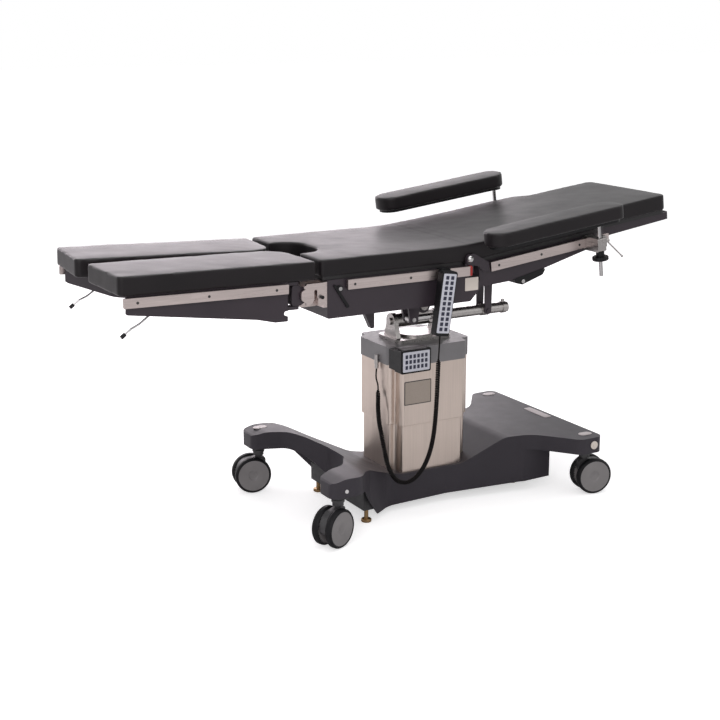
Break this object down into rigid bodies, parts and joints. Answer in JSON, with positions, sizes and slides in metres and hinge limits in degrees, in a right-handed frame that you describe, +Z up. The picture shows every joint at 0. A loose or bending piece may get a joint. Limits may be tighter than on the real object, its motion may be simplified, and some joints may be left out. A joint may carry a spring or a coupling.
{
  "type": "operating table",
  "caption": "Mobile electro-hydraulic operating table with a telescopic column, split leg sections, folding back section and two arm boards.",
  "frame": {"origin": "on the floor, under the middle of the table's whole length and width", "axes": "+X to the head end, +Y to the far side, +Z up"},
  "size_m": [2.0506, 0.734, 1.0364],
  "materials": {
    "base_paint": "satin lilac-grey paint",
    "frame_paint": "satin charcoal paint",
    "chassis_paint": "matt black primer",
    "cover_steel": "fine vertical brushing, champagne tint",
    "rail_steel": "brushed along its length",
    "machined_steel": "machined",
    "chrome": "polished",
    "collar_plastic": "fine moulded grain",
    "black_plastic": "satin black",
    "keypad": "membrane",
    "castor_plastic": "moulded grey",
    "castor_wheel": "grey disc with a black tread",
    "brass": "dull",
    "pad_vinyl": "antistatic vinyl, soft sheen",
    "laminate": "black laminate",
    "cord_rubber": "satin",
    "power_grey": "grey enamel"
  },
  "bodies": {
    "base": {"base_chassis": "chassis_paint", "base_cover": "base_paint", "power_unit": "power_grey", "lower_column_cover": "cover_steel", "outer_mast": "machined_steel"},
    "feet": {"brake_feet": "brass"},
    "lift_middle": {"middle_column_cover": "cover_steel", "middle_mast": "machined_steel"},
    "lift": {"upper_column_cover": "cover_steel", "column_collar": "collar_plastic", "inner_mast": "machined_steel", "control_panel": "black_plastic", "panel_keypad": "keypad", "column_head": "machined_steel", "cord_leads": "cord_rubber", "cord_coil": "cord_rubber", "cord_socket": "machined_steel"},
    "cradle": {"tilt_cradle": "machined_steel"},
    "seat": {"seat_frame": "frame_paint", "seat_plate": "laminate", "seat_pad": "pad_vinyl", "seat_rails": "rail_steel", "knee_brackets": "rail_steel", "hinge_pins": "chrome", "handset": "black_plastic", "handset_keypad": "keypad"},
    "back": {"back_frame": "frame_paint", "back_plate": "laminate", "back_pad": "pad_vinyl", "back_rails": "rail_steel", "near_arm_clamp": "machined_steel", "far_arm_clamp": "machined_steel"},
    "ram_barrel": {"ram_barrel": "machined_steel"},
    "ram_rod": {"ram_rod": "chrome"},
    "castor_foot_near": {"castor_yoke_foot_near": "castor_plastic"},
    "wheels_foot_near": {"castor_wheels_foot_near": "castor_wheel"},
    "castor_foot_far": {"castor_yoke_foot_far": "castor_plastic"},
    "wheels_foot_far": {"castor_wheels_foot_far": "castor_wheel"},
    "castor_head_near": {"castor_yoke_head_near": "castor_plastic"},
    "wheels_head_near": {"castor_wheels_head_near": "castor_wheel"},
    "castor_head_far": {"castor_yoke_head_far": "castor_plastic"},
    "wheels_head_far": {"castor_wheels_head_far": "castor_wheel"},
    "near_knee": {"near_knee_link": "frame_paint"},
    "near_leg": {"near_leg_frame": "frame_paint", "near_leg_pad": "pad_vinyl", "near_leg_rail": "rail_steel"},
    "near_release": {"near_release_lever": "chrome"},
    "near_lock": {"near_lock_lever": "black_plastic"},
    "near_arm": {"near_arm_board": "black_plastic", "near_arm_pad": "pad_vinyl"},
    "near_knob": {"near_clamp_knob": "black_plastic"},
    "far_knee": {"far_knee_link": "frame_paint"},
    "far_leg": {"far_leg_frame": "frame_paint", "far_leg_pad": "pad_vinyl", "far_leg_rail": "rail_steel"},
    "far_release": {"far_release_lever": "chrome"},
    "far_lock": {"far_lock_lever": "black_plastic"},
    "far_arm": {"far_arm_board": "black_plastic", "far_arm_pad": "pad_vinyl"},
    "far_knob": {"far_clamp_knob": "black_plastic"}
  },
  "joints": [
    {"name": "foot_lock", "type": "slide", "parent": "base", "child": "feet", "axis": [0, 0, 1], "range_m": [0, 0.014]},
    {"name": "lift", "type": "slide", "parent": "base", "child": "lift", "axis": [0, 0, 1], "range_m": [-0.095, 0.15]},
    {"name": "lift_middle", "type": "slide", "parent": "base", "child": "lift_middle", "axis": [0, 0, 1], "range_m": [-0.0475, 0.075]},
    {"name": "side_tilt", "type": "hinge", "parent": "lift", "child": "cradle", "pos_m": [0.11114, 0, 0.612], "axis": [1, 0, 0], "range_deg": [-20, 20], "deforming": ["cord_leads", "cord_coil"]},
    {"name": "end_tilt", "type": "hinge", "parent": "cradle", "child": "seat", "pos_m": [0.11114, 0, 0.665], "axis": [0, 1, 0], "range_deg": [-25, 25]},
    {"name": "back_fold", "type": "hinge", "parent": "seat", "child": "back", "pos_m": [0.16014, 0, 0.847], "axis": [0, -1, 0], "range_deg": [-20, 60]},
    {"name": "ram_swing", "type": "hinge", "parent": "seat", "child": "ram_rod", "pos_m": [0.00314, -0.15, 0.652], "axis": [0, -1, 0], "range_deg": [-8.8, 26]},
    {"name": "ram_stroke", "type": "slide", "parent": "ram_rod", "child": "ram_barrel", "axis": [1, 0, 0], "range_m": [-0.0526, 0.1573]},
    {"name": "swivel_foot_near", "type": "hinge", "parent": "base", "child": "castor_foot_near", "pos_m": [-0.33686, -0.285, 0.146], "axis": [0, 0, 1], "continuous": true},
    {"name": "roll_foot_near", "type": "hinge", "parent": "castor_foot_near", "child": "wheels_foot_near", "pos_m": [-0.36061, -0.29557, 0.0625], "axis": [-0.4067, 0.9135, 0], "continuous": true},
    {"name": "swivel_foot_far", "type": "hinge", "parent": "base", "child": "castor_foot_far", "pos_m": [-0.33686, 0.285, 0.146], "axis": [0, 0, 1], "continuous": true},
    {"name": "roll_foot_far", "type": "hinge", "parent": "castor_foot_far", "child": "wheels_foot_far", "pos_m": [-0.36229, 0.29041, 0.0625], "axis": [0.2079, 0.9781, 0], "continuous": true},
    {"name": "swivel_head_near", "type": "hinge", "parent": "base", "child": "castor_head_near", "pos_m": [0.62314, -0.285, 0.146], "axis": [0, 0, 1], "continuous": true},
    {"name": "roll_head_near", "type": "hinge", "parent": "castor_head_near", "child": "wheels_head_near", "pos_m": [0.64857, -0.29041, 0.0625], "axis": [-0.2079, -0.9781, 0], "continuous": true},
    {"name": "swivel_head_far", "type": "hinge", "parent": "base", "child": "castor_head_far", "pos_m": [0.62314, 0.285, 0.146], "axis": [0, 0, 1], "continuous": true},
    {"name": "roll_head_far", "type": "hinge", "parent": "castor_head_far", "child": "wheels_head_far", "pos_m": [0.64757, 0.29389, 0.0625], "axis": [0.342, -0.9397, 0], "continuous": true},
    {"name": "near_leg_fold", "type": "hinge", "parent": "seat", "child": "near_knee", "pos_m": [-0.42186, -0.221, 0.787], "axis": [0, -1, 0], "range_deg": [-7, 90]},
    {"name": "near_leg_spread", "type": "hinge", "parent": "near_knee", "child": "near_leg", "pos_m": [-0.44685, -0.221, 0.78765], "axis": [0.0262, 0, 0.9997], "range_deg": [-2, 88]},
    {"name": "near_release", "type": "hinge", "parent": "near_leg", "child": "near_release", "pos_m": [-0.84659, -0.20997, 0.82713], "axis": [-0.0349, 0.9994, 0.0009], "range_deg": [0, 10], "stiffness_Nm_per_rad": 1, "springref_deg": -17.19},
    {"name": "near_lock", "type": "hinge", "parent": "seat", "child": "near_lock", "pos_m": [-0.30586, -0.245, 0.798], "axis": [0, 1, 0], "range_deg": [0, 45]},
    {"name": "near_arm_swing", "type": "hinge", "parent": "back", "child": "near_arm", "pos_m": [0.62781, -0.311, 0.87759], "axis": [-0.1184, 0, 0.993], "range_deg": [0, 10]},
    {"name": "near_knob_turn", "type": "hinge", "parent": "back", "child": "near_knob", "pos_m": [0.62781, -0.311, 0.87759], "axis": [-0.1184, 0, 0.993], "range_deg": [-180, 180]},
    {"name": "far_leg_fold", "type": "hinge", "parent": "seat", "child": "far_knee", "pos_m": [-0.42186, 0.221, 0.787], "axis": [0, -1, 0], "range_deg": [-7, 90]},
    {"name": "far_leg_spread", "type": "hinge", "parent": "far_knee", "child": "far_leg", "pos_m": [-0.44685, 0.221, 0.78765], "axis": [-0.0262, 0, -0.9997], "range_deg": [-4.5, 85.5]},
    {"name": "far_release", "type": "hinge", "parent": "far_leg", "child": "far_release", "pos_m": [-0.84669, 0.22746, 0.82713], "axis": [0.0784, 0.9969, -0.0021], "range_deg": [0, 10], "stiffness_Nm_per_rad": 1, "springref_deg": -17.19},
    {"name": "far_lock", "type": "hinge", "parent": "seat", "child": "far_lock", "pos_m": [-0.30586, 0.245, 0.798], "axis": [0, 1, 0], "range_deg": [0, 45]},
    {"name": "far_arm_swing", "type": "hinge", "parent": "back", "child": "far_arm", "pos_m": [0.64965, 0.311, 0.88019], "axis": [0.1184, 0, -0.993], "range_deg": [0, 90]},
    {"name": "far_knob_turn", "type": "hinge", "parent": "back", "child": "far_knob", "pos_m": [0.64965, 0.311, 0.88019], "axis": [-0.1184, 0, 0.993], "range_deg": [-180, 180]}
  ],
  "couplings": [
    {"joint": "lift_middle", "follows": "lift", "ratio": 0.5},
    {"joint": "ram_swing", "follows": "back_fold", "ratio": 0.43},
    {"joint": "ram_stroke", "follows": "back_fold", "m_per_rad": 0.15}
  ]
}
